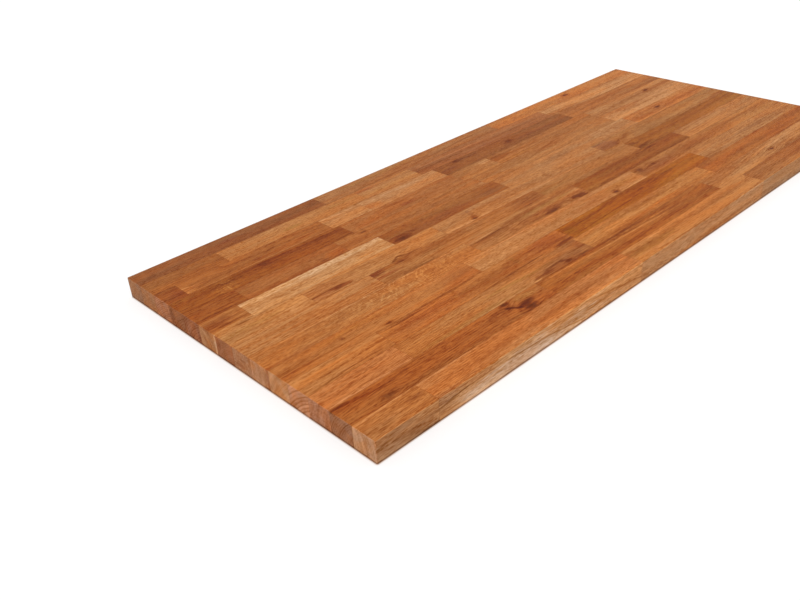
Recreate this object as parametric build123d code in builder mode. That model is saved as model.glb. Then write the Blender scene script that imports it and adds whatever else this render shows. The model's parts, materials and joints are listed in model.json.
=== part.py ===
from build123d import *
from itertools import cycle
import os

# Butcher block countertop: full-thickness oak staves laid in rows and glued edge to edge.
# Millimetres. X runs along the board from its left-hand end, Y from the front edge to the back,
# Z up from the underside. The origin is at the middle of the underside.

# The finished board is cut to this length and sanded to this thickness
board_length = 1500.0
board_thickness = 40.0

# Rows of staves glued edge to edge, then ripped straight along both long edges
row_count = 14
stave_width = 46.5
edge_trim = 0.5
board_width = row_count * stave_width - 2 * edge_trim

# Every edge of the board is sanded to a small round
arris_radius = 1.5

# The saw leaves no stave shorter than this at the right-hand end: the one before it runs through
shortest_end_stave = 60.0

# Stave lengths of each row from the left-hand end, front row first, as the layout shows them.
# The last stave of a row is trimmed with the board, and a longer board goes through its row's
# lengths again.
row_stave_lengths = [
    [118.0, 499.0, 430.0, 480.0],
    [443.0, 520.0, 560.0],
    [163.0, 445.0, 420.0, 490.0],
    [171.0, 446.0, 470.0, 440.0],
    [418.0, 507.0, 590.0],
    [473.0, 322.0, 375.0, 350.0],
    [283.0, 444.0, 320.0, 470.0],
    [168.0, 313.0, 507.0, 530.0],
    [75.0, 315.0, 322.0, 121.0, 347.0, 350.0],
    [100.0, 222.0, 376.0, 460.0, 370.0],
    [373.0, 308.0, 116.0, 360.0, 380.0],
    [41.0, 319.0, 103.0, 215.0, 440.0, 410.0],
    [155.0, 338.0, 155.0, 450.0, 430.0],
    [420.0, 530.0, 560.0],
]

left_end = -board_length / 2
right_end = board_length / 2
first_row_front = -row_count * stave_width / 2


def stave_ends(lengths):
    """Where each stave of a row begins and ends along X, from the left-hand end of the board."""
    begin = left_end
    for stave_length in cycle(lengths):
        end = begin + stave_length
        if end > right_end - shortest_end_stave:
            yield begin, right_end
            return
        yield begin, end
        begin = end


os.makedirs("parts", exist_ok=True)

# The outside of the glued board after it is cut to size and its edges are eased
with BuildPart() as board_outside:
    with BuildSketch(Plane.XY):
        Rectangle(board_length, board_width)
    extrude(amount=board_thickness)
    fillet(board_outside.edges(), radius=arris_radius)

# Each stave runs through the whole thickness. The outer ones take their trimmed faces and their
# rounded edges from the board.
for row in range(row_count):
    row_middle = first_row_front + (row + 0.5) * stave_width
    lengths = row_stave_lengths[row % len(row_stave_lengths)]
    for number, (begin, end) in enumerate(stave_ends(lengths), start=1):
        with BuildPart() as stave:
            with BuildSketch(Plane.XY):
                with Locations(((begin + end) / 2, row_middle)):
                    Rectangle(end - begin, stave_width)
            extrude(amount=board_thickness)
            add(board_outside.part, mode=Mode.INTERSECT)
        stave_name = f"row_{row + 1:02d}_stave_{number}"
        stave.part.label = stave_name
        export_step(stave.part, f"parts/{stave_name}.step")
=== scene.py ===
import bpy
import json
from math import radians
from mathutils import Euler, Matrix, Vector


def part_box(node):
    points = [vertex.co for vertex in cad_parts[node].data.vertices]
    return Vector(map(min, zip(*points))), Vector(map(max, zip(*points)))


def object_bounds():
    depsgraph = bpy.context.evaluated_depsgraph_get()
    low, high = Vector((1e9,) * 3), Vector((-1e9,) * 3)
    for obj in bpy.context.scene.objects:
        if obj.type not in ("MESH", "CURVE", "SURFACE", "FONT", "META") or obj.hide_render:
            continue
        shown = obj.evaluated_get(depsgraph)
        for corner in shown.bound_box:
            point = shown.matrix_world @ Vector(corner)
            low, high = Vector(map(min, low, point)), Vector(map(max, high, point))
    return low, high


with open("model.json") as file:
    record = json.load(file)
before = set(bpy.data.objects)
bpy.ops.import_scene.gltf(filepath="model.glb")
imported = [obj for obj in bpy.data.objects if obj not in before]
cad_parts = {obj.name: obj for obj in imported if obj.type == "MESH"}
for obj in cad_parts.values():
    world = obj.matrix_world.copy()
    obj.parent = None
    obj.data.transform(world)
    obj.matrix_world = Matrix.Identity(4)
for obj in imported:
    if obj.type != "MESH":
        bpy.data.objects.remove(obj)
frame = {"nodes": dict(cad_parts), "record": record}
cad_low, cad_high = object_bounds()
scene = bpy.context.scene
scene.view_settings.view_transform = "Standard"

# The camera stands off the near left-hand corner of the board and looks along and down over it.
# Its film width and focal length are in mm, its place in metres and its turn in degrees.
camera = bpy.data.objects.new("camera", bpy.data.cameras.new("camera"))
camera.data.sensor_width = 36.0
camera.data.lens = 38.516
camera.location = (-1.2795, -0.9834, 0.7656)
camera.rotation_euler = (radians(58.499), radians(3.430), radians(-43.934))
scene.collection.objects.link(camera)
scene.camera = camera

# The floor is a plain white sheet under the board. The camera sees it and the room behind it as
# white, and it keeps the board's soft shadow. Next to the board a painted contact shade turns the
# floor brown and dims its glow, darkest in the corner under the arris.
floor_size = 30.0
floor_drop = 0.0002
floor_white = (0.55, 0.55, 0.55, 1)
floor_lift = 0.873
painted_contact_reach = 0.0026
painted_contact_brown = (0.42, 0.22, 0.10, 1)


def feed(tree, socket, value):
    """Joins a socket to another one, or gives it a fixed value."""
    if isinstance(value, bpy.types.NodeSocket):
        tree.links.new(value, socket)
    else:
        socket.default_value = value


def maths(tree, operation, *values):
    """One Math node, with its output."""
    node = tree.nodes.new("ShaderNodeMath")
    node.operation = operation
    for socket, value in zip(node.inputs, values):
        feed(tree, socket, value)
    return node.outputs[0]


def blend(tree, share, first, second, way="MIX"):
    """Mixes two colours."""
    node = tree.nodes.new("ShaderNodeMix")
    node.data_type = "RGBA"
    node.blend_type = way
    feed(tree, node.inputs["Factor"], share)
    feed(tree, node.inputs["A"], first)
    feed(tree, node.inputs["B"], second)
    return node.outputs["Result"]


bpy.ops.mesh.primitive_plane_add(size=floor_size, location=(0, 0, cad_low.z - floor_drop))
floor = bpy.context.object
floor.name = "floor"
floor_paint = bpy.data.materials.new("floor white")
floor_paint.use_nodes = True
tree = floor_paint.node_tree
paint = tree.nodes["Principled BSDF"]
paint.inputs["Roughness"].default_value = 0.9
paint.inputs["Specular IOR Level"].default_value = 0.0
# painted contact shade: ambient occlusion mixes the floor towards brown and dims its camera glow within
# a few mm of the board
corner = tree.nodes.new("ShaderNodeAmbientOcclusion")
corner.inputs["Distance"].default_value = painted_contact_reach
white = blend(tree, corner.outputs["AO"], painted_contact_brown, floor_white)
sight = tree.nodes.new("ShaderNodeLightPath")
lift = maths(tree, "MULTIPLY", sight.outputs["Is Camera Ray"], floor_lift)
feed(tree, paint.inputs["Base Color"], white)
feed(tree, paint.inputs["Emission Color"], white)
feed(tree, paint.inputs["Emission Strength"], maths(tree, "MULTIPLY", lift, corner.outputs["AO"]))
floor.data.materials.append(floor_paint)

# Soft studio light: an even white room, and a wide soft lamp far off over the near corner. The
# camera itself sees the room as full white. The lamp's width is in degrees.
room_light = 0.60
lamp_light = 1.93
lamp_width = 50
lamp_aim = Vector((0.9, 1.1, -1.5))

scene.world = bpy.data.worlds.new("studio")
scene.world.use_nodes = True
tree = scene.world.node_tree
room = tree.nodes["Background"]
room.inputs["Color"].default_value = (1, 1, 1, 1)
sight = tree.nodes.new("ShaderNodeLightPath")
strength = tree.nodes.new("ShaderNodeMapRange")
feed(tree, strength.inputs["Value"], sight.outputs["Is Camera Ray"])
feed(tree, strength.inputs["To Min"], room_light)
feed(tree, room.inputs["Strength"], strength.outputs["Result"])

lamp = bpy.data.objects.new("soft lamp", bpy.data.lights.new("soft lamp", "SUN"))
lamp.data.energy = lamp_light
lamp.data.angle = radians(lamp_width)
lamp.rotation_euler = lamp_aim.to_track_quat("-Z", "Y").to_euler()
scene.collection.objects.link(lamp)


# Row 1, at the front edge: staves of solid oak, sawn and planed square, glued edge to edge and
# end to end. The front faces are ripped and sanded with their arrises, and all is oiled.
def new_group(name, takes, gives):
    """A shader group with named inputs and outputs: its tree, its inputs and its outputs."""
    group = bpy.data.node_groups.new(name, "ShaderNodeTree")
    for label, kind in takes.items():
        group.interface.new_socket(name=label, in_out="INPUT", socket_type="NodeSocket" + kind)
    for label, kind in gives.items():
        group.interface.new_socket(name=label, in_out="OUTPUT", socket_type="NodeSocket" + kind)
    return group, group.nodes.new("NodeGroupInput").outputs, group.nodes.new("NodeGroupOutput").inputs


def place(tree, group, **values):
    """Puts a shader group into a tree with its own values."""
    node = tree.nodes.new("ShaderNodeGroup")
    node.node_tree = group
    for label, value in values.items():
        feed(tree, node.inputs[label.replace("_", " ")], value)
    return node.outputs


def vectors(tree, operation, *values):
    """One Vector Math node, with its output: a length is a number, all else a vector."""
    node = tree.nodes.new("ShaderNodeVectorMath")
    node.operation = operation
    for socket, value in zip(node.inputs, values):
        feed(tree, socket, value)
    return node.outputs["Value" if operation == "LENGTH" else "Vector"]


def apart(tree, vector):
    """The three coordinates of a vector."""
    node = tree.nodes.new("ShaderNodeSeparateXYZ")
    feed(tree, node.inputs[0], vector)
    return node.outputs


def together(tree, x, y, z):
    """A vector from three coordinates."""
    node = tree.nodes.new("ShaderNodeCombineXYZ")
    for socket, value in zip(node.inputs, (x, y, z)):
        feed(tree, socket, value)
    return node.outputs[0]


def noise(tree, vector, grid, detail=0.0, output="Fac"):
    """Soft noise from 0 to 1. The grid says how many blotches go to one unit of the vector."""
    node = tree.nodes.new("ShaderNodeTexNoise")
    node.inputs["Scale"].default_value = 1.0
    node.inputs["Detail"].default_value = detail
    feed(tree, node.inputs["Vector"], vectors(tree, "MULTIPLY", vector, grid))
    return node.outputs[output]


def slope(tree, value, start, end):
    """Eases from 0 to 1 as the value goes from start to end."""
    node = tree.nodes.new("ShaderNodeMapRange")
    node.interpolation_type = "SMOOTHSTEP"
    for label, number in zip(("Value", "From Min", "From Max"), (value, start, end)):
        feed(tree, node.inputs[label], number)
    return node.outputs["Result"]


def swing(tree, base, value, by, middle=0.5):
    """Moves a base up and down by how far a value is from its middle."""
    return maths(tree, "MULTIPLY_ADD", maths(tree, "SUBTRACT", value, middle), by, base)


def oak_group():
    """Solid oak as it lies in the log: growth rings about the heart, pores, rays and fibre."""
    tree, takes, gives = new_group(
        "solid oak",
        {
            "Log": "Vector", "Facing": "Vector", "Rise": "Float", "Tone": "Color",
            "Ring Width": "Float", "Wander": "Float", "Figure": "Float", "Fibre": "Float",
            "Ends": "Color", "Sides": "Color",
        },
        {"Color": "Color", "Roughness": "Float", "Height": "Float", "Fleck": "Float"},
    )
    # the whole grain sways a little as it runs along the log
    sway = noise(tree, takes["Log"], grid=(3.5, 9, 9), detail=2, output="Color")
    sway = vectors(tree, "SUBTRACT", sway, (0.5, 0.5, 0.5))
    sway = vectors(tree, "MULTIPLY", sway, together(tree, 0.0, takes["Wander"], takes["Wander"]))
    grain = vectors(tree, "ADD", takes["Log"], sway)
    x, y, z = apart(tree, grain)
    radius = vectors(tree, "LENGTH", together(tree, 0.0, y, z))
    angle = maths(tree, "ARCTAN2", z, y)

    # bands of years, then the rings, whose early wood is a dark line that fades outwards, more
    # or less dark from year to year
    faintest_year = 0.3
    years = noise(tree, together(tree, x, radius, angle), grid=(1.6, 95, 1), detail=3)
    ring = maths(tree, "DIVIDE", radius, takes["Ring Width"])
    draw = tree.nodes.new("ShaderNodeTexWhiteNoise")
    draw.noise_dimensions = "1D"
    feed(tree, draw.inputs["W"], maths(tree, "FLOOR", ring))
    year = maths(tree, "MULTIPLY_ADD", draw.outputs["Value"], 1 - faintest_year, faintest_year)
    early = slope(tree, maths(tree, "FRACT", ring), start=0.6, end=0.0)
    early = maths(tree, "MULTIPLY", early, year)

    # clouds of darker and of redder wood, fine fibre, and open pores, most in the early wood
    late_pores = 0.4
    clouds = noise(tree, grain, grid=(6, 48, 48), detail=2, output="Color")
    cloud, blush = apart(tree, clouds)[:2]
    fibre = noise(tree, grain, grid=(48, 760, 760), detail=2)
    pore = slope(tree, noise(tree, grain, grid=(130, 1400, 1400)), start=0.50, end=0.62)
    pore = maths(tree, "MULTIPLY", pore, maths(tree, "MULTIPLY_ADD", early, 1 - late_pores, late_pores))

    # the rays cross the rings and show as wavy flecks that lean over
    ray_wave = 0.02
    ray_lean = 0.5
    wave = noise(tree, grain, grid=(30, 55, 55))
    wave = maths(tree, "MULTIPLY_ADD", wave, ray_wave, maths(tree, "MULTIPLY_ADD", radius, ray_lean, x))
    ray = noise(tree, together(tree, wave, radius, angle), grid=(190, 38, 90), detail=1)
    ray = slope(tree, ray, start=0.47, end=0.62)
    feed(tree, gives["Fleck"], ray)

    # the surface is an end or a side of the board where it points squarely along or across it
    squarely = {"start": 0.5, "end": 0.95}
    along, across, up = apart(tree, vectors(tree, "ABSOLUTE", takes["Facing"]))
    end = slope(tree, along, **squarely)
    side = slope(tree, across, **squarely)
    upright = slope(tree, up, start=0.95, end=0.7)

    # how light the wood is, from 0 for dark to 1 for light: it swings with the years, the clouds
    # and the fibre, early wood and pores are darker, and rays are paler
    middle_light = 0.62
    fibre_middle = 0.443
    early_dark = -0.28
    early_darker_at_ends = -0.13
    pore_dark = -0.55
    ray_pale = 0.06
    darkening = maths(tree, "MULTIPLY_ADD", end, early_darker_at_ends, early_dark)
    light = swing(tree, middle_light, years, by=1.2)
    light = swing(tree, light, cloud, by=0.7)
    light = maths(tree, "MULTIPLY_ADD", early, darkening, light)
    light = swing(tree, 0.5, light, by=takes["Figure"])
    light = swing(tree, light, fibre, by=takes["Fibre"], middle=fibre_middle)
    light = maths(tree, "MULTIPLY_ADD", pore, pore_dark, light)
    light = maths(tree, "MULTIPLY_ADD", ray, ray_pale, light)

    # the stave's tone from its darkest to its lightest wood, a little cooler here and warmer there
    darkest = (0.60, 0.39, 0.10, 1)
    lightest = (1.34, 1.59, 2.08, 1)
    cooler = (0.965, 1.045, 1.18, 1)
    warmer = (1.03, 0.95, 0.81, 1)
    shade = blend(tree, slope(tree, light, start=0.0, end=1.0), darkest, lightest)
    colour = blend(tree, 1.0, takes["Tone"], shade, "MULTIPLY")
    hue = blend(tree, slope(tree, blush, start=0.35, end=0.65), cooler, warmer)
    colour = blend(tree, 1.0, colour, hue, "MULTIPLY")

    # ripped and sanded edges, and ends sawn across the pores, take the oil another way. A painted shade
    # darkens the lowest few mm of every upright face, where the shade under the arris falls
    painted_foot_brown = (0.35, 0.27, 0.19, 1)
    colour = blend(tree, side, colour, takes["Sides"], "MULTIPLY")
    colour = blend(tree, end, colour, takes["Ends"], "MULTIPLY")
    # painted shade: dark brown multiplied in over about the lowest 5 mm of the upright faces
    foot_shade_mask = slope(tree, swing(tree, takes["Rise"], cloud, by=0.004), start=0.0048, end=0.0012)
    foot_shade_mask = maths(tree, "MULTIPLY", foot_shade_mask, upright)
    feed(tree, gives["Color"], blend(tree, foot_shade_mask, colour, painted_foot_brown, "MULTIPLY"))

    # pores and ends are rougher than the rest, and pores and early wood lie deeper
    plain_rough = 0.5
    pore_rough = 0.18
    end_rough = 0.2
    pore_height = -1.0
    early_height = -0.2
    fibre_height = 0.35
    rough = maths(tree, "MULTIPLY_ADD", pore, pore_rough, plain_rough)
    feed(tree, gives["Roughness"], maths(tree, "MULTIPLY_ADD", end, end_rough, rough))
    height = maths(tree, "MULTIPLY_ADD", pore, pore_height, maths(tree, "MULTIPLY", fibre, fibre_height))
    feed(tree, gives["Height"], maths(tree, "MULTIPLY_ADD", early, early_height, height))
    return tree


def knot_group():
    """A branch through the stave: it pushes the grain aside round a dark core with a stained rim."""
    tree, takes, gives = new_group(
        "knot",
        {"Board": "Vector", "Centre": "Vector", "Size": "Float", "Stretch": "Float"},
        {"Push": "Vector", "Core": "Float", "Rim": "Float", "Heart": "Float"},
    )
    push_reach = 3.0
    x, y = apart(tree, vectors(tree, "SUBTRACT", takes["Board"], takes["Centre"]))[:2]
    along = maths(tree, "DIVIDE", x, takes["Stretch"])
    square = maths(tree, "ADD", maths(tree, "MULTIPLY", along, along), maths(tree, "MULTIPLY", y, y))
    reach = maths(tree, "MULTIPLY", takes["Size"], takes["Size"])
    push = maths(tree, "DIVIDE", square, maths(tree, "MULTIPLY_ADD", reach, push_reach, square))
    push = maths(tree, "MULTIPLY", y, maths(tree, "SUBTRACT", push, 1.0))
    feed(tree, gives["Push"], together(tree, 0.0, push, 0.0))

    # the edges of the core, the rim and the heart are so many times the knot's size out, and ragged
    edge = maths(tree, "DIVIDE", maths(tree, "SQRT", square), takes["Size"])
    rough = noise(tree, takes["Board"], grid=(80, 260, 60), detail=3)
    edge = swing(tree, edge, rough, by=3.0)
    feed(tree, gives["Core"], slope(tree, edge, start=1.2, end=0.7))
    feed(tree, gives["Rim"], slope(tree, edge, start=2.4, end=0.9))
    feed(tree, gives["Heart"], slope(tree, edge, start=0.6, end=0.2))
    return tree


def stain_group():
    """A patch or streak of other colour in the wood, with ragged ends that follow the grain."""
    tree, takes, gives = new_group(
        "stain",
        {"Board": "Vector", "Centre": "Vector", "Reach": "Vector", "Run Out": "Vector"},
        {"Share": "Float"},
    )
    away = vectors(tree, "SUBTRACT", takes["Board"], takes["Centre"])
    x = apart(tree, away)[0]
    drift = vectors(tree, "MULTIPLY", takes["Run Out"], together(tree, x, x, x))
    away = vectors(tree, "SUBTRACT", away, drift)
    edge = vectors(tree, "LENGTH", vectors(tree, "DIVIDE", away, takes["Reach"]))
    rough = noise(tree, takes["Board"], grid=(20, 260, 260), detail=3)
    edge = swing(tree, edge, rough, by=2.2)
    feed(tree, gives["Share"], slope(tree, edge, start=1.25, end=0.55))
    return tree


def glue_group():
    """The glue line: a hairline round a stave where it meets its neighbours, gone after half a mm."""
    tree, takes, gives = new_group(
        "glue line", {"Board": "Vector", "Low": "Vector", "High": "Vector"}, {"Share": "Float"}
    )
    inside = vectors(
        tree, "MINIMUM",
        vectors(tree, "SUBTRACT", takes["Board"], takes["Low"]),
        vectors(tree, "SUBTRACT", takes["High"], takes["Board"]),
    )
    x, y = apart(tree, inside)[:2]
    feed(tree, gives["Share"], slope(tree, maths(tree, "MINIMUM", x, y), start=0.0005, end=0.0001))
    return tree


solid_oak, knotted, stained, glue_line = oak_group(), knot_group(), stain_group(), glue_group()

# The sorts of oak in the board, as they look under oil, and the sort that each stave is sawn from.
tones = {
    "oak_sapwood": (0.57, 0.24, 0.076),
    "oak_pale": (0.51, 0.19, 0.049),
    "oak_honey": (0.45, 0.16, 0.037),
    "oak_amber": (0.48, 0.148, 0.027),
    "oak_brown": (0.385, 0.12, 0.023),
    "oak_russet": (0.38, 0.1, 0.013),
    "oak_dusky": (0.32, 0.095, 0.021),
    "oak_dark": (0.31, 0.075, 0.011),
}
slot_of = {part["node"]: part["material_slot"] for part in frame["record"]["subparts"]}

# A millimetre in metres, the room that each stave has along its log, and how far the glue lines
# are set past the board's own faces, so that they show only between staves.
mm = 0.001
log_step = 1.9
joint_reach = 10 * mm

# Streaks, patches and glue multiply the oak's own colour by these.
dark_line = (0.53, 0.36, 0.13)
dark_red = (0.70, 0.49, 0.20)
dull = (0.82, 0.78, 0.80)
purple = (0.74, 0.68, 0.95)
olive = (0.86, 0.92, 0.78)
orange = (1.06, 0.88, 0.60)
pale = (1.22, 1.40, 1.85)
sapwood = (1.20, 1.42, 1.85)
pink = (1.13, 1.48, 2.35)
fleck = (1.14, 1.30, 1.55)
glue_dark = (0.66, 0.54, 0.40)

# What a knot lays over the wood from its rim inwards, how strongly, in which colour and how.
knot_layers = [
    ("Rim", 0.8, (0.64, 0.42, 0.16), "MULTIPLY"),
    ("Core", 0.9, (0.18, 0.034, 0.004), "MIX"),
    ("Heart", 0.7, (0.10, 0.022, 0.004), "MIX"),
]

# A streak at this height and of this depth in mm shows on the top face and not on the end below.
at_top = {"z": 42, "depth": 16}


def on_board(x, y, z=20):
    """A point x mm from the left-hand end, y mm from the front edge and z mm above the underside."""
    return cad_low + Vector((x, y, z)) * mm


def streak(x, y, length, width, colour, share=1.0, run_out=0.0, z=20, depth=2000, climb=0.0):
    """A streak or patch of another colour round a point, with its length, width and depth in mm.

    For each mm along the board it runs out so many mm to the back, and climbs so many.
    """
    reach = Vector((length, width, depth)) * mm / 2
    return {"Centre": on_board(x, y, z), "Reach": reach, "Run_Out": (0, run_out, climb)}, share, colour


def knot(x, y, size, stretch=1.5, share=1.0):
    """A knot of so many mm half across, drawn out along the grain."""
    return {"Centre": on_board(x, y), "Size": size * mm, "Stretch": stretch}, share


def glued_corners(low, high):
    """The two corners of a stave's glued sides. They lie past the sides that are the board's own."""
    corners = [Vector((low.x, low.y, 0)), Vector((high.x, high.y, 0))]
    for axis in range(2):
        if low[axis] < cad_low[axis] + mm:
            corners[0][axis] -= joint_reach
        if high[axis] > cad_high[axis] - mm:
            corners[1][axis] += joint_reach
    return corners


def stave(node, heart, lean=0.0, climb=0.0, rings=2.6, wander=16, figure=0.9, fibre=1.2,
          tint=(1, 1, 1), ends=(1.05, 1.32, 2.5), sides=(1.0, 1.35, 2.35),
          knots=(), streaks=(), flecks=()):
    """Gives a stave its oak.

    The heart of its log lies so many mm behind and above its middle. From left to right the log
    leans so many degrees to the back and climbs so many. Its rings are so many mm wide, and its
    grain wanders so many mm. Figure and fibre say how strongly bands and fibre show. The tone of
    the stave's sort of oak is multiplied by its tint, and on its ends and sides also by theirs.
    Where the photo shows a stave, these three were fitted to the mean colour of its top, end and
    side there. Flecks are patches that show on the rays only.
    """
    oak = bpy.data.materials.new(node + " oak")
    oak.use_nodes = True
    tree = oak.node_tree
    low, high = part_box(node)
    spot = tree.nodes.new("ShaderNodeTexCoord")
    board = spot.outputs["Object"]
    bent = board
    branches = []
    for where, share in knots:
        branch = place(tree, knotted, Board=board, **where)
        bent = vectors(tree, "ADD", bent, branch["Push"])
        branches.append((branch, share))

    # each stave comes from its own length of log, turned to the log's own axis
    turn = Euler((0, radians(climb), radians(-lean)))
    start = (low + high) / 2 + Vector((0, *heart)) * mm
    number = sorted(slot_of).index(node)
    log = tree.nodes.new("ShaderNodeMapping")
    feed(tree, log.inputs["Vector"], bent)
    feed(tree, log.inputs["Rotation"], turn)
    feed(tree, log.inputs["Location"], Vector((log_step * number, 0, 0)) - turn.to_matrix() @ start)
    tone = [part * share for part, share in zip(tones[slot_of[node]], tint)]
    wood = place(
        tree, solid_oak, Log=log.outputs[0], Facing=spot.outputs["Normal"],
        Rise=maths(tree, "SUBTRACT", apart(tree, board)[2], cad_low.z), Tone=(*tone, 1),
        Ring_Width=rings * mm, Wander=wander * mm, Figure=figure, Fibre=fibre,
        Ends=(*ends, 1), Sides=(*sides, 1),
    )

    # streaks and patches stain the wood, flecks only its rays, and knots lie over both
    colour = wood["Color"]
    on_rays = [(where, maths(tree, "MULTIPLY", wood["Fleck"], share), stain)
               for where, share, stain in flecks]
    for where, share, stain in (*streaks, *on_rays):
        patch = place(tree, stained, Board=board, **where)
        mask = maths(tree, "MULTIPLY", patch["Share"], share)
        colour = blend(tree, mask, colour, (*stain, 1), "MULTIPLY")
    for branch, share in branches:
        for label, strength, stain, way in knot_layers:
            mask = maths(tree, "MULTIPLY", branch[label], share * strength)
            colour = blend(tree, mask, colour, (*stain, 1), way)

    # the glue runs along the sides that meet another stave, not along the outside of the board
    left_front, right_back = glued_corners(low, high)
    joint = place(tree, glue_line, Board=board, Low=left_front, High=right_back)
    colour = blend(tree, joint["Share"], colour, (*glue_dark, 1), "MULTIPLY")

    # oiled and sanded: a low sheen, with the pores open under it
    finish = tree.nodes["Principled BSDF"]
    finish.inputs["Specular IOR Level"].default_value = 0.12
    feed(tree, finish.inputs["Base Color"], colour)
    feed(tree, finish.inputs["Roughness"], wood["Roughness"])
    relief = tree.nodes.new("ShaderNodeBump")
    relief.inputs["Strength"].default_value = 0.5
    relief.inputs["Distance"].default_value = 0.4 * mm
    feed(tree, relief.inputs["Height"], wood["Height"])
    feed(tree, finish.inputs["Normal"], relief.outputs["Normal"])
    for slot in frame["nodes"][node].material_slots:
        slot.material = oak


stave("row_01_stave_1", heart=(95, -20), lean=0.6, rings=3.0, fibre=1.5, tint=(0.89, 0.92, 1.03),
      ends=(1.27, 1.76, 3.47), sides=(0.93, 1.21, 2.01), streaks=[
    streak(45, 43, 120, 4, pale, 0.9, run_out=0.02, **at_top),
    streak(100, 26, 30, 12, dull, 0.9),
    streak(60, 22, 90, 5, pale, 0.4, run_out=0.15, **at_top),
    streak(25, 10, 50, 6, dark_red, 0.5, **at_top),
    streak(35, 0, 20, 6, dark_line, 0.6, z=20, depth=4),
    streak(20, 0, 20, 6, dark_red, 0.8, z=26, depth=4),
    streak(60, 0, 44, 8, dark_red, 0.5, z=13, depth=16),
    streak(90, 0, 40, 8, dark_red, 0.8, z=9, depth=4, climb=0.05),
    streak(112, 0, 40, 8, (1.10, 1.18, 1.26), 0.9, z=9, depth=22),
    streak(100, 0, 70, 8, dark_line, 0.5, z=21.5, depth=3),
    streak(104, 0, 70, 12, (1.18, 1.22, 1.20), 0.9, z=33, depth=16),
])
stave("row_01_stave_2", heart=(90, -85), wander=8, figure=0.56, tint=(1.05, 1.05, 1.17),
      sides=(1.10, 1.50, 2.29), streaks=[
    streak(294, 0, 370, 16, pink, 1.0, z=3, depth=50, climb=0.05),
    streak(300, 0, 80, 8, (1.0, 0.90, 0.80), 0.9, z=10, depth=16),
    streak(210, 0, 90, 8, (0.95, 0.87, 0.82), 0.9, z=32, depth=14),
    streak(125, 0, 90, 12, (0.78, 0.73, 0.76), 0.9, z=34, depth=18),
    streak(124, 0, 74, 12, (0.76, 0.66, 0.56), 0.9, z=9, depth=34),
    streak(130, 0, 60, 8, dark_line, 0.6, z=22.5, depth=3.5, climb=0.04),
    streak(158, 0, 60, 8, dark_line, 0.8, z=26.5, depth=4, climb=0.12),
    streak(205, 0, 90, 8, dark_line, 0.8, z=28.4, depth=3),
    streak(275, 0, 110, 8, dark_line, 0.7, z=26, depth=3, climb=-0.06),
    streak(330, 0, 90, 8, dark_red, 0.9, z=22.5, depth=3, climb=-0.06),
    streak(400, 0, 120, 8, dark_red, 0.9, z=15, depth=3, climb=-0.15),
    streak(430, 0, 150, 8, dark_red, 0.5, z=27, depth=3, climb=-0.12),
    streak(540, 0, 170, 8, dark_red, 0.6, z=24, depth=4, climb=-0.14),
    streak(600, 0, 140, 8, dark_red, 0.5, z=14, depth=4, climb=-0.14),
    # painted highlight: a paler strip along the front arris and the edge of the top beside it
    streak(400, 3, 580, 15, (1.08, 1.15, 1.24), 0.9, z=40, depth=9),
    streak(142, 34, 22, 2.5, dark_red, 1.0),
    streak(126, 14, 16, 2.5, dark_red, 0.8),
    streak(170, 44, 150, 5, pale, 0.5),
    streak(490, 22, 150, 12, dark_red, 0.3, run_out=-0.03),
])
stave("row_01_stave_3", heart=(-80, -80), lean=-0.8, figure=0.8, tint=(1.00, 1.03, 1.05),
      sides=(1.03, 1.29, 2.08), streaks=[
    streak(680, 24, 160, 16, olive, 0.8),
    streak(712, 40, 50, 4, pale, 0.8, run_out=-0.05),
    streak(700, 8, 60, 4, pale, 0.5),
    streak(860, 30, 150, 5, pale, 0.5),
])
stave("row_01_stave_4", heart=(-60, -95), lean=0.6, streaks=[
    streak(1240, 20, 180, 10, dark_red, 0.4, run_out=0.02),
])


# Row 2: solid oak staves, planed square and glued on both sides. A dark red-brown one with a bent
# double knot lies at the end. Staves are sorted by width only, so colours fall as they come.
stave("row_02_stave_1", heart=(-70, -40), lean=0.5, rings=3.2, fibre=1.6, tint=(0.98, 0.96, 1.07),
      ends=(0.93, 1.30, 3.26), knots=[
    knot(386, 56, 9.0, 1.3), knot(360, 91, 6.0, 1.3), knot(78, 56, 7.0, 2.2, 0.4),
], streaks=[
    streak(8, 91, 50, 9, dark_line, 0.7, **at_top),
    streak(42, 84, 80, 5, dark_red, 0.8, run_out=-0.12, **at_top),
    streak(50, 84, 140, 16, dark_red, 0.5, **at_top),
    streak(110, 80, 90, 4, dark_line, 0.6, run_out=0.10),
    streak(190, 89, 130, 3.5, dark_line, 0.7),
    streak(220, 66, 36, 3, dark_line, 0.7),
    streak(363, 71, 32, 9, (0.40, 0.24, 0.12), 1.0, run_out=-0.75),
    streak(392, 67, 34, 12, (0.52, 0.38, 0.24), 0.9),
    streak(382, 63, 30, 12, (0.62, 0.44, 0.28), 0.9),
    streak(372, 80, 16, 8, (1.25, 1.35, 1.55), 1.0),
    streak(340, 80, 60, 10, dark_red, 0.6),
    streak(398, 83, 50, 16, (0.98, 1.06, 0.95), 1.0, run_out=-0.1),
    streak(400, 82, 56, 16, pale, 0.7, run_out=-0.1),
    streak(425, 60, 50, 26, orange, 0.5),
    streak(90, 64, 160, 8, dark_red, 0.4, run_out=0.03),
])
stave("row_02_stave_2", heart=(-70, -75), lean=-0.6, figure=1.0, fibre=1.6, tint=(0.97, 0.97, 0.93),
      streaks=[
    streak(500, 88, 130, 5, pale, 1.0, run_out=-0.03),
    streak(518, 63, 24, 4, dark_line, 0.7),
    streak(660, 78, 400, 4.5, (1.32, 1.58, 2.2), 1.0, run_out=-0.045),
    streak(640, 89, 360, 3.5, dark_red, 0.6),
    streak(720, 83.5, 330, 4, pale, 1.0, run_out=-0.045),
    streak(720, 80, 300, 2.5, dark_red, 0.6, run_out=-0.045),
    streak(700, 54, 120, 6, dark_red, 0.4),
])
stave("row_02_stave_3", heart=(50, -110), lean=0.5, knots=[knot(1210, 64, 4, 2.0)], streaks=[
    streak(1250, 80, 200, 6, pale, 0.5),
])


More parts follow.
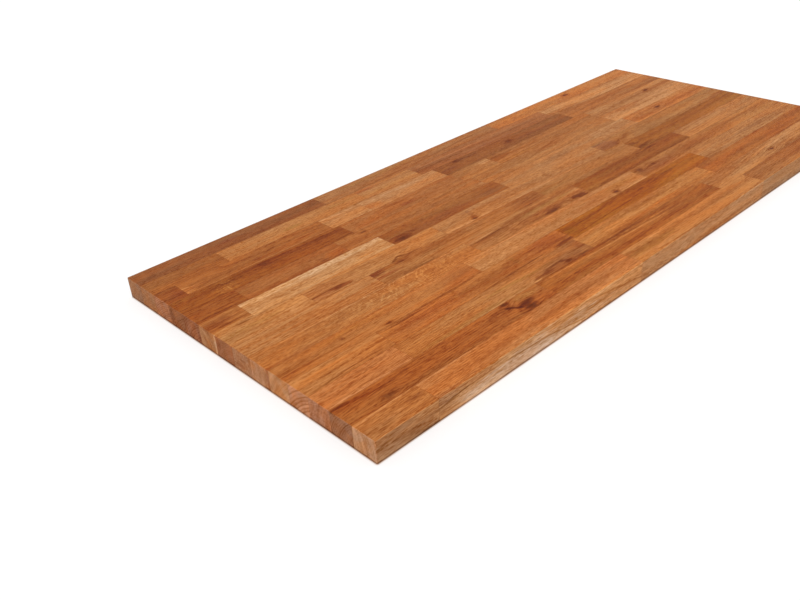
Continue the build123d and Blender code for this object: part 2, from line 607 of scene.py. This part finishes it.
# Row 3: amber staves of solid oak, planed square and glued on both sides. The second was sawn
# beside a branch, which left a dull lens in it with a dark outline.
stave("row_03_stave_1", heart=(-100, -25), lean=0.6, figure=0.8, fibre=1.7, tint=(1.02, 0.92, 0.93),
      ends=(0.92, 1.18, 2.40), streaks=[
    streak(80, 96, 170, 3.5, pale, 0.7, **at_top),
    streak(60, 128, 120, 5, orange, 0.5, **at_top),
    streak(120, 112, 60, 3, dark_red, 0.4),
])
stave("row_03_stave_2", heart=(60, -75), figure=0.75, tint=(0.94, 0.98, 1.06), knots=[
    knot(543, 98, 4.0, 1.8, 0.6),
], streaks=[
    streak(560, 112, 200, 44, dull, 1.0, run_out=0.08),
    streak(530, 101, 170, 20, (0.87, 0.79, 0.72), 1.0),
    streak(476, 99, 60, 10, (0.70, 0.56, 0.40), 1.0, run_out=0.03),
    streak(516, 107.5, 60, 4.5, (0.67, 0.50, 0.30), 1.0, run_out=0.04),
    streak(536, 104, 22, 7, (0.64, 0.48, 0.30), 1.0, run_out=-0.45),
    streak(572, 96, 100, 4, (0.60, 0.44, 0.24), 0.9),
    streak(585, 113, 70, 7, dark_red, 1.0),
    streak(600, 116, 30, 50, (0.90, 0.80, 0.72), 0.9),
    streak(448, 101, 26, 6.5, (1.32, 1.55, 2.0), 1.0, run_out=0.4),
    streak(456, 95, 40, 5, (1.30, 1.50, 1.9), 1.0, run_out=-0.05),
    streak(230, 132, 140, 3, dark_red, 0.6),
    streak(300, 98, 280, 9, olive, 0.7),
    streak(440, 120, 160, 8, olive, 0.9, run_out=-0.05),
    streak(330, 95, 200, 3, pale, 0.6),
])
stave("row_03_stave_3", heart=(-90, -80), lean=-0.5, figure=0.8, tint=(1.03, 1.08, 1.05), streaks=[
    streak(740, 112, 220, 4, pale, 0.4, run_out=0.02),
    streak(830, 104, 180, 8, orange, 0.6, run_out=0.03),
    streak(860, 122, 180, 4, dark_red, 0.4),
])
stave("row_03_stave_4", heart=(80, -60), lean=0.4, streaks=[
    streak(1330, 105, 220, 8, dark_red, 0.5),
])


# Row 4: an amber stave, then long reddish ones with dark grain lines, all of solid oak, planed
# square and glued on both sides.
stave("row_04_stave_1", heart=(-55, -70), lean=0.7, rings=5.5, wander=10, figure=0.8,
      tint=(1.02, 1.04, 1.09), ends=(1.15, 1.37, 2.67), streaks=[
    streak(50, 144, 80, 4, dark_line, 0.7, run_out=0.08, **at_top),
    streak(120, 146.5, 110, 3, dark_line, 0.6, run_out=-0.01, **at_top),
    streak(90, 150, 160, 4, pale, 0.4),
    streak(75, 172, 140, 5, orange, 0.6, **at_top),
])
stave("row_04_stave_2", heart=(-80, -60), lean=-0.4, figure=0.85, fibre=1.4,
      tint=(1.18, 1.28, 1.58), streaks=[
    streak(215, 178, 90, 5, dark_line, 0.8),
    streak(330, 183, 150, 4.5, dark_line, 0.7),
    streak(455, 143, 170, 4, dark_line, 0.8, run_out=0.03),
    streak(597, 145, 60, 11, (0.46, 0.29, 0.12), 1.0),
    streak(490, 170, 100, 18, dark_red, 0.5, run_out=0.15),
    streak(482, 166, 10, 34, olive, 0.8),
    streak(265, 160, 150, 50, (0.96, 0.88, 0.90), 0.9),
    streak(572, 168, 100, 36, (0.80, 0.66, 0.58), 1.0),
])
stave("row_04_stave_3", heart=(70, -75), lean=0.9, tint=(0.98, 0.94, 0.38), streaks=[
    streak(865, 164, 150, 22, dark_red, 0.5, run_out=0.05),
    streak(950, 168, 90, 9, dark_line, 0.6, run_out=0.05),
    streak(867, 165, 20, 7, dark_line, 0.6),
    streak(740, 150, 240, 4, dark_red, 0.9, run_out=0.04),
    streak(700, 170, 140, 3, dark_red, 0.7, run_out=0.05),
    streak(680, 178, 150, 16, (1.18, 1.22, 1.25), 1.0),
    streak(634, 163, 26, 50, olive, 0.9),
    streak(850, 147, 160, 11, (0.80, 0.66, 0.42), 0.9),
])
stave("row_04_stave_4", heart=(-50, -110), streaks=[
    streak(1290, 160, 160, 12, dull, 0.7),
])


# Row 5: an orange stave with pin knots, a long pale one and a reddish one with round knots, all
# of solid oak, planed square and glued on both sides.
stave("row_05_stave_1", heart=(-80, -60), lean=0.5, figure=0.75, tint=(0.92, 0.86, 0.79),
      ends=(1.28, 1.77, 3.48), knots=[
    knot(126, 212, 1.8, 1.6, 0.5), knot(205, 190, 2.6, 2.2, 0.7),
], streaks=[
    streak(70, 200, 180, 3.5, dark_red, 0.7, run_out=-0.01, **at_top),
    streak(60, 190, 130, 3, dark_red, 0.5, **at_top),
    streak(150, 222, 180, 8, olive, 0.5),
    streak(385, 205, 100, 46, (0.90, 0.78, 0.66), 0.9),
    streak(300, 226, 200, 4, pale, 0.4),
])
stave("row_05_stave_2", heart=(90, -100), wander=10, figure=0.3, fibre=0.8, tint=(1.16, 1.14, 1.11),
      knots=[knot(827, 194.5, 4.2, 1.5)], streaks=[
    streak(480, 209, 190, 60, (1.10, 1.14, 1.20), 1.0),
    streak(730, 198, 130, 20, (0.92, 0.84, 0.76), 0.9),
    streak(668, 192, 16, 10, orange, 0.8),
    streak(700, 226, 400, 4, pale, 0.6, run_out=-0.01),
    streak(900, 189, 60, 3, pale, 0.9),
    streak(760, 215, 240, 3, orange, 0.6, run_out=0.02),
    streak(860, 212, 90, 20, olive, 0.6),
])
stave("row_05_stave_3", heart=(-60, -60), lean=-0.6, climb=0.8, figure=0.8, tint=(1.32, 1.42, 1.17),
      knots=[
    knot(944, 216, 6.5, 1.6, 0.6), knot(990, 215, 4.5, 1.7, 0.5),
], streaks=[
    streak(1000, 205, 130, 26, (0.90, 0.80, 0.92), 0.7),
    streak(1180, 200, 200, 12, dull, 0.7),
    streak(1350, 215, 200, 6, dark_red, 0.6),
])


# Row 6: a quarter-sawn amber stave, whose rays show as pale flecks, and three plain-sawn ones,
# all of solid oak, planed square and glued on both sides.
stave("row_06_stave_1", heart=(120, 12), lean=0.3, figure=0.6, fibre=1.3, tint=(0.95, 0.96, 0.97),
      ends=(1.14, 1.47, 2.89), streaks=[
    streak(250, 276, 470, 4, pale, 0.8),
    streak(40, 236, 200, 8, (0.86, 0.72, 0.62), 0.7, **at_top),
    streak(1, 235.5, 6, 7, (0.80, 0.66, 0.60), 0.9),
    streak(160, 262, 160, 3, dark_red, 0.5),
], flecks=[
    streak(318, 256, 200, 56, fleck, 1.0),
    streak(200, 258, 160, 30, fleck, 0.4),
])
stave("row_06_stave_2", heart=(-70, -70), tint=(1.07, 1.06, 1.05), knots=[
    knot(768, 240, 8.0, 2.3), knot(680, 237, 6.0, 3.0, 0.8),
], streaks=[
    streak(520, 264, 110, 4.5, dark_line, 0.8, run_out=0.04),
    streak(520, 268.5, 110, 3, pale, 0.8, run_out=0.04),
    streak(640, 238, 160, 8, dark_red, 0.5),
    streak(700, 264, 150, 12, olive, 0.8),
    streak(715, 261, 190, 15, (1.10, 1.18, 1.28), 0.9),
    streak(688, 246, 90, 14, (0.78, 0.62, 0.50), 0.9, run_out=-0.05),
    streak(766, 250.5, 50, 4, pale, 0.9),
    streak(787, 256, 16, 26, pale, 0.6),
])
stave("row_06_stave_3", heart=(80, -60), lean=-0.5, figure=0.6, tint=(1.01, 1.06, 0.74), streaks=[
    streak(825, 256, 90, 50, (1.09, 1.18, 1.24), 1.0),
    streak(1060, 270, 80, 8, dark_line, 0.8, run_out=0.05),
    streak(940, 272, 260, 8, dark_red, 0.35),
    streak(900, 244, 260, 6, pale, 0.3),
])
stave("row_06_stave_4", heart=(50, -90), lean=0.8)


# Row 7: honey and brown staves of solid oak, planed square and glued on both sides, with a dark
# patch at one joint.
stave("row_07_stave_1", heart=(6, -22), lean=0.4, wander=8, figure=0.45, tint=(1.09, 1.06, 1.03),
      ends=(0.90, 1.00, 1.58), streaks=[
    streak(178, 282, 40, 4, dark_red, 0.7),
    streak(1, 297, 6, 16, (0.72, 0.58, 0.46), 0.9, z=25, depth=6),
    streak(1, 304, 6, 26, (0.84, 0.68, 0.58), 0.8, z=12, depth=6),
    streak(140, 296, 260, 6, orange, 0.4),
])
stave("row_07_stave_2", heart=(-60, -75), tint=(1.07, 1.09, 1.09), knots=[
    knot(352, 320, 3.0, 2.2, 0.7),
], streaks=[
    streak(284, 316, 60, 18, (0.55, 0.34, 0.24), 1.0),
    streak(300, 303, 70, 10, (0.80, 0.63, 0.60), 1.0),
    streak(365, 312, 16, 22, dark_red, 0.5),
    streak(310, 290, 60, 12, dark_red, 0.5),
    streak(365, 282, 80, 4, dark_line, 0.7, run_out=-0.03),
    streak(540, 291, 300, 5, dark_red, 0.6, run_out=-0.01),
    streak(450, 305, 140, 6, dark_red, 0.4),
    streak(688, 302, 110, 46, (0.84, 0.76, 0.70), 1.0),
    *[streak(700, y, 70, 3, dark_red, 0.8, run_out=0.1) for y in (292, 300, 308)],
    streak(470, 321, 200, 4, pale, 0.4),
])
stave("row_07_stave_3", heart=(90, -80), lean=-0.4, figure=0.5, tint=(0.89, 0.82, 0.69), streaks=[
    streak(760, 300, 80, 26, olive, 0.4),
    streak(930, 290, 160, 5, dark_red, 0.4, run_out=0.03),
])
stave("row_07_stave_4", heart=(-50, -60), lean=1.2, tint=(1.00, 0.98, 0.50), streaks=[
    streak(1070, 287, 60, 12, dark_line, 0.8, run_out=0.10),
    streak(1060, 310, 30, 14, dark_red, 0.7, run_out=-0.4),
    streak(1300, 305, 240, 8, dark_red, 0.5),
])


# Row 8: pale and honey staves of solid oak in the middle of the board, planed square and glued on
# both sides. One has a dark smear and half an arch of grain round a knot.
stave("row_08_stave_1", heart=(-30, -45), lean=0.6, rings=3.2, figure=0.4, fibre=0.8,
      tint=(0.98, 0.96, 0.87), ends=(0.81, 0.73, 1.01), streaks=[
    streak(50, 368, 40, 6, dark_line, 1.0),
    streak(1, 363, 6, 12, (0.74, 0.60, 0.48), 0.8, z=26, depth=20),
    streak(85, 327, 170, 4, pale, 0.9, **at_top),
    streak(140, 350, 80, 60, (1.08, 1.16, 1.30), 1.0),
    streak(148, 336, 80, 22, (1.10, 1.20, 1.42), 1.0),
    streak(50, 350, 110, 16, olive, 0.5),
])
stave("row_08_stave_2", heart=(70, -90), figure=0.6, tint=(1.07, 1.03, 0.95), knots=[
    knot(222, 336, 4.0, 3.0, 0.4),
], streaks=[
    streak(205, 350, 120, 40, (0.90, 0.76, 0.65), 0.9),
    streak(186, 339, 56, 5, dark_line, 0.9),
    streak(186, 332, 70, 14, (0.90, 0.83, 0.88), 0.9),
    streak(226, 334, 52, 13, (0.64, 0.42, 0.26), 1.0, run_out=-0.12),
    streak(353, 332, 26, 7, dark_line, 0.9, run_out=0.5),
    streak(366, 334, 28, 8, dark_line, 1.0, run_out=-0.25),
    streak(390, 329, 40, 4, dark_line, 0.7, run_out=-0.1),
    streak(372, 328, 60, 6, dark_red, 0.6),
    streak(300, 358, 90, 4, dark_red, 0.4, run_out=-0.03),
    streak(430, 350, 120, 16, orange, 0.4),
])
stave("row_08_stave_3", heart=(-90, -70), lean=-0.3, figure=0.5, tint=(1.02, 1.02, 1.04),
      knots=[knot(562, 331, 3.8, 1.3, 0.8)], streaks=[
    streak(572, 354, 14, 22, dull, 0.9, run_out=0.6),
    streak(567, 339, 12, 16, dark_red, 0.9),
    streak(590, 329, 50, 5, pale, 0.8),
    streak(806, 354, 14, 12, dark_red, 0.7),
    streak(520, 329, 90, 6, pale, 1.0),
    streak(700, 328, 260, 3.5, pale, 0.7),
    streak(640, 360, 240, 12, dull, 0.6, run_out=-0.02),
    streak(880, 345, 180, 8, orange, 0.4),
])
stave("row_08_stave_4", heart=(60, -60), lean=1.0, figure=1.0, tint=(1.01, 1.11, 1.17), streaks=[
    streak(1015, 350, 80, 40, purple, 0.9),
    streak(1050, 341, 44, 8, dark_red, 0.7, run_out=0.5),
    streak(1090, 350, 50, 14, dark_red, 0.7, run_out=0.3),
])


# Row 9: solid oak staves, planed square and glued on both sides, from dark heartwood at the end
# to the palest stave of the board, which keeps a band of sapwood.
stave("row_09_stave_1", heart=(55, -15), lean=1.6, tint=(1.06, 1.19, 1.55),
      ends=(1.12, 1.43, 2.60), streaks=[
    streak(30, 373.5, 160, 6.5, (1.35, 1.75, 2.5), 1.0, run_out=0.02),
    streak(45, 384, 70, 3.5, dark_line, 1.0, run_out=0.03),
    streak(45, 390, 60, 3, sapwood, 0.7, run_out=0.05),
    streak(50, 400, 50, 2.5, pale, 0.8, run_out=0.05),
    streak(15, 402, 80, 34, (0.74, 0.58, 0.46), 0.9, **at_top),
    streak(50, 410, 60, 4, dark_red, 0.6),
])
stave("row_09_stave_2", heart=(-80, -70), lean=0.4, figure=0.5, tint=(1.01, 1.03, 0.99),
      streaks=[
    streak(235, 411, 560, 18, sapwood, 1.0),
    streak(230, 386, 400, 30, (0.97, 0.90, 0.80), 0.9),
    streak(215, 397, 60, 5, dull, 1.0),
    streak(300, 398, 130, 3, dark_red, 0.35, run_out=0.02),
    streak(322, 384, 50, 8, orange, 0.9),
    streak(150, 386, 60, 3, dark_red, 0.4),
    streak(200, 378, 280, 8, orange, 0.3),
])
stave("row_09_stave_3", heart=(70, -60), lean=-0.5, figure=0.6, tint=(1.01, 0.94, 0.65),
      knots=[knot(416, 379, 7.5, 1.6)], streaks=[
    streak(425, 384, 90, 20, dark_red, 0.5),
    streak(520, 386, 240, 26, (0.92, 0.80, 0.80), 0.8),
    streak(560, 388, 120, 16, purple, 0.3),
    streak(670, 385, 60, 20, purple, 0.5),
    streak(540, 413, 340, 10, (1.10, 1.12, 1.10), 0.9),
])
stave("row_09_stave_4", heart=(-80, -90), figure=0.5, tint=(1.01, 1.02, 1.06))
stave("row_09_stave_5", heart=(90, -60), lean=0.5, figure=0.5, tint=(1.02, 1.08, 1.22), streaks=[
    streak(890, 400, 16, 8, dull, 0.9),
    streak(915, 392, 50, 16, dull, 0.6),
    streak(1010, 405, 60, 16, orange, 0.5),
])
stave("row_09_stave_6", heart=(60, -80), lean=-0.8, knots=[knot(1300, 396, 3.5, 2.0)])


# Row 10: solid oak staves, planed square and glued on both sides: dark rust at the end, then brown,
# and paler towards the right.
stave("row_10_stave_1", heart=(-50, -60), lean=0.5, rings=4.0, wander=12, fibre=1.5,
      tint=(1.06, 1.00, 0.71), ends=(1.07, 1.49, 4.88), streaks=[
    streak(1, 422, 6, 10, (0.68, 0.52, 0.40), 0.9, z=12, depth=24),
    streak(35, 456, 90, 3, sapwood, 0.6, **at_top),
    streak(45, 449, 110, 3, pale, 0.5, **at_top),
    streak(50, 441, 90, 3, pale, 0.5, **at_top),
    streak(30, 424, 80, 8, dark_red, 0.6, **at_top),
    streak(60, 434, 70, 4, dark_red, 0.6),
])
stave("row_10_stave_2", heart=(80, -90), lean=0.3, figure=0.5, fibre=1.4, tint=(0.96, 0.85, 0.74),
      streaks=[
    streak(268, 428, 14, 20, dull, 0.7),
    streak(300, 434, 44, 26, orange, 0.7),
    streak(110, 446, 24, 22, olive, 0.4),
])
stave("row_10_stave_3", heart=(-70, -80), lean=-0.3, figure=0.6, tint=(1.04, 1.01, 0.96),
      knots=[knot(386, 456, 2.6, 2.6, 0.6)], streaks=[
    streak(440, 446, 80, 10, dark_red, 0.5, run_out=-0.05),
    streak(600, 450, 80, 7, dark_red, 0.6, run_out=0.06),
    streak(340, 436, 60, 20, dull, 0.5),
    streak(500, 430, 160, 8, dull, 0.4),
    streak(692, 430, 14, 16, pale, 0.6),
])
stave("row_10_stave_4", heart=(70, -100), lean=0.5, figure=0.5, tint=(0.95, 0.91, 0.84), streaks=[
    streak(940, 452, 180, 5, dark_red, 0.6, run_out=0.18),
    streak(720, 432, 60, 8, orange, 0.6),
])
stave("row_10_stave_5", heart=(-60, -80), lean=-0.6, streaks=[
    streak(1330, 440, 200, 6, dark_red, 0.5),
])


# Row 11: dark heartwood whose rays show near the end, then reddish brown, and a short honey stave
# between longer ones. All are of solid oak, planed square and glued on both sides.
stave("row_11_stave_1", heart=(-60, -65), lean=0.5, rings=4.5, wander=12, figure=0.6, fibre=1.5,
      tint=(0.94, 0.90, 0.56), ends=(1.09, 1.47, 4.68), knots=[knot(190, 500, 3.5, 2.4, 0.5)], streaks=[
    streak(100, 482, 3, 40, (1.16, 1.34, 1.70), 1.0),
    streak(84, 468, 3, 18, (1.16, 1.30, 1.60), 0.8),
    streak(1, 503, 6, 16, (0.70, 0.56, 0.44), 0.8, z=22, depth=34),
    streak(90, 494, 90, 9, dark_red, 0.6),
    streak(190, 505, 120, 6, dark_red, 0.7),
    streak(200, 494, 40, 14, (0.80, 0.66, 0.66), 0.7),
    streak(320, 498, 120, 12, dark_red, 0.4),
    streak(300, 476, 200, 16, orange, 0.4),
], flecks=[
    streak(98, 486, 46, 50, (1.32, 1.75, 2.7), 1.0),
    streak(190, 484, 40, 40, fleck, 0.6),
])
stave("row_11_stave_2", heart=(-80, -80), lean=0.4, figure=0.5, tint=(1.05, 1.02, 1.01), streaks=[
    streak(510, 500, 60, 9, dark_red, 0.7, run_out=-0.1),
    streak(530, 482, 40, 12, (0.86, 0.70, 0.72), 0.8),
    streak(560, 500, 120, 2.5, dark_red, 0.6),
    streak(420, 478, 90, 10, orange, 0.5),
])
stave("row_11_stave_3", heart=(70, -110), figure=0.6, tint=(0.98, 0.95, 0.88), streaks=[
    streak(778, 500, 44, 14, pale, 0.9),
    streak(700, 480, 60, 4, orange, 0.8, run_out=0.2),
])
stave("row_11_stave_4", heart=(-60, -65), lean=1.4, figure=0.8, tint=(1.03, 1.03, 1.00), streaks=[
    streak(820, 492, 70, 26, dark_red, 0.8, run_out=-0.1),
    streak(890, 486, 140, 4, dark_red, 0.6, run_out=-0.06),
    streak(860, 470, 160, 8, olive, 0.6),
])
stave("row_11_stave_5", heart=(70, -60), lean=-0.5, knots=[knot(1390, 488, 4.0, 1.7)])


# Row 12: a very short dark stave at the end, a brown one, two pale ones, and a long purplish one
# with knots. All are of solid oak, planed square and glued on both sides.
stave("row_12_stave_1", heart=(-55, -70), rings=3.4, tint=(0.96, 0.93, 0.82),
      ends=(1.42, 2.10, 5.97), streaks=[
    streak(30, 528, 30, 20, (0.84, 0.68, 0.74), 0.8),
])
stave("row_12_stave_2", heart=(30, -60), lean=0.8, climb=1.4, figure=0.75, tint=(0.96, 0.83, 0.63),
      streaks=[
    streak(40, 528, 44, 26, (1.30, 1.40, 1.50), 1.0),
    streak(52, 534, 44, 5, pale, 0.9, run_out=-0.2),
    streak(52, 522, 44, 5, pale, 0.9, run_out=0.2),
    streak(140, 526, 110, 8, dark_red, 0.4),
    streak(230, 537, 40, 7, dark_red, 0.8, run_out=0.2),
    streak(198, 524, 30, 12, (0.80, 0.64, 0.50), 0.8),
    streak(305, 528, 50, 5, dark_red, 0.8),
    streak(210, 514, 330, 3, pale, 0.8),
])
stave("row_12_stave_3", heart=(70, -120), figure=0.4, tint=(1.03, 1.03, 1.02), streaks=[
    streak(385, 552, 60, 3, pale, 0.9, run_out=-0.06),
    streak(430, 552, 60, 3, pale, 0.9, run_out=0.08),
])
stave("row_12_stave_4", heart=(-70, -90), lean=-0.4, figure=0.45, tint=(0.97, 0.98, 1.01), streaks=[
    streak(480, 528, 44, 36, (1.02, 0.84, 0.62), 1.0),
    streak(560, 546, 170, 9, sapwood, 0.45, run_out=-0.01),
    streak(640, 530, 120, 8, orange, 0.4),
])
stave("row_12_stave_5", heart=(70, -70), lean=0.4, figure=0.6, tint=(0.92, 0.88, 0.68), knots=[
    knot(745, 551, 4.0, 2.2, 0.8), knot(905, 536, 5.5, 1.6, 0.7),
], streaks=[
    streak(705, 532, 60, 14, purple, 0.8),
    streak(770, 548, 70, 6, purple, 0.7),
    streak(1000, 530, 160, 14, purple, 0.5),
])
stave("row_12_stave_6", heart=(-70, -60), lean=0.5, streaks=[
    streak(1300, 540, 220, 6, dark_red, 0.5),
])


# Row 13: solid oak staves, planed square and glued on both sides: brown, two of honey, and a dull
# one with a pale line.
stave("row_13_stave_1", heart=(-60, -80), lean=0.4, figure=0.6, tint=(0.89, 0.82, 0.70),
      ends=(1.19, 1.57, 3.24), streaks=[
    streak(50, 594, 110, 10, (1.08, 1.10, 1.20), 0.9, **at_top),
    streak(145, 578, 40, 14, (0.80, 0.76, 0.66), 0.9),
    streak(90, 572, 160, 4, dark_red, 0.4),
])
stave("row_13_stave_2", heart=(-70, -110), lean=0.3, figure=0.35, fibre=1.0,
      tint=(1.07, 1.06, 1.02), streaks=[
    streak(314, 577, 50, 12, olive, 1.0),
    streak(230, 566, 160, 12, orange, 0.5),
    streak(440, 588, 90, 14, olive, 0.5),
    streak(390, 557, 120, 3, dark_red, 0.6),
    streak(250, 599, 180, 3, pale, 0.5),
])
stave("row_13_stave_3", heart=(60, -80), figure=0.4, fibre=1.0, tint=(1.04, 1.05, 1.07), streaks=[
    streak(520, 596, 70, 12, (0.86, 0.66, 0.58), 0.9),
    streak(560, 574, 160, 10, olive, 0.4),
])
stave("row_13_stave_4", heart=(80, -60), lean=-0.4, figure=0.7, tint=(1.06, 1.07, 1.06), streaks=[
    streak(760, 590, 240, 5, pale, 0.9),
    streak(720, 578, 140, 7, dark_red, 0.7),
    streak(840, 566, 240, 8, purple, 0.5),
])
stave("row_13_stave_5", heart=(-50, -100), lean=0.5)


# Row 14, the back row: a long dark stave of solid oak, then lighter ones with a curved dark grain
# line. It is glued in front only; its back edge is ripped, sanded and eased with the board.
stave("row_14_stave_1", heart=(-70, -60), lean=0.3, figure=0.6, tint=(0.88, 0.85, 0.81),
      ends=(1.30, 1.92, 3.82), streaks=[
    streak(200, 630, 40, 14, (0.90, 0.80, 1.0), 0.8),
    streak(240, 609, 200, 5, dark_red, 0.4),
    streak(100, 612, 160, 6, orange, 0.5),
    streak(80, 636, 160, 8, orange, 0.4),
])
stave("row_14_stave_2", heart=(60, -80), lean=1.0, figure=0.6, tint=(0.99, 1.09, 1.38), streaks=[
    streak(600, 611, 230, 4, dark_red, 0.8, run_out=0.04),
    streak(800, 623, 230, 4, dark_red, 0.8, run_out=0.08),
    streak(600, 636, 240, 14, olive, 0.6),
    streak(800, 612, 200, 8, orange, 0.5),
])
stave("row_14_stave_3", heart=(70, -100), lean=-0.6, knots=[knot(1240, 628, 5.0, 1.8)])
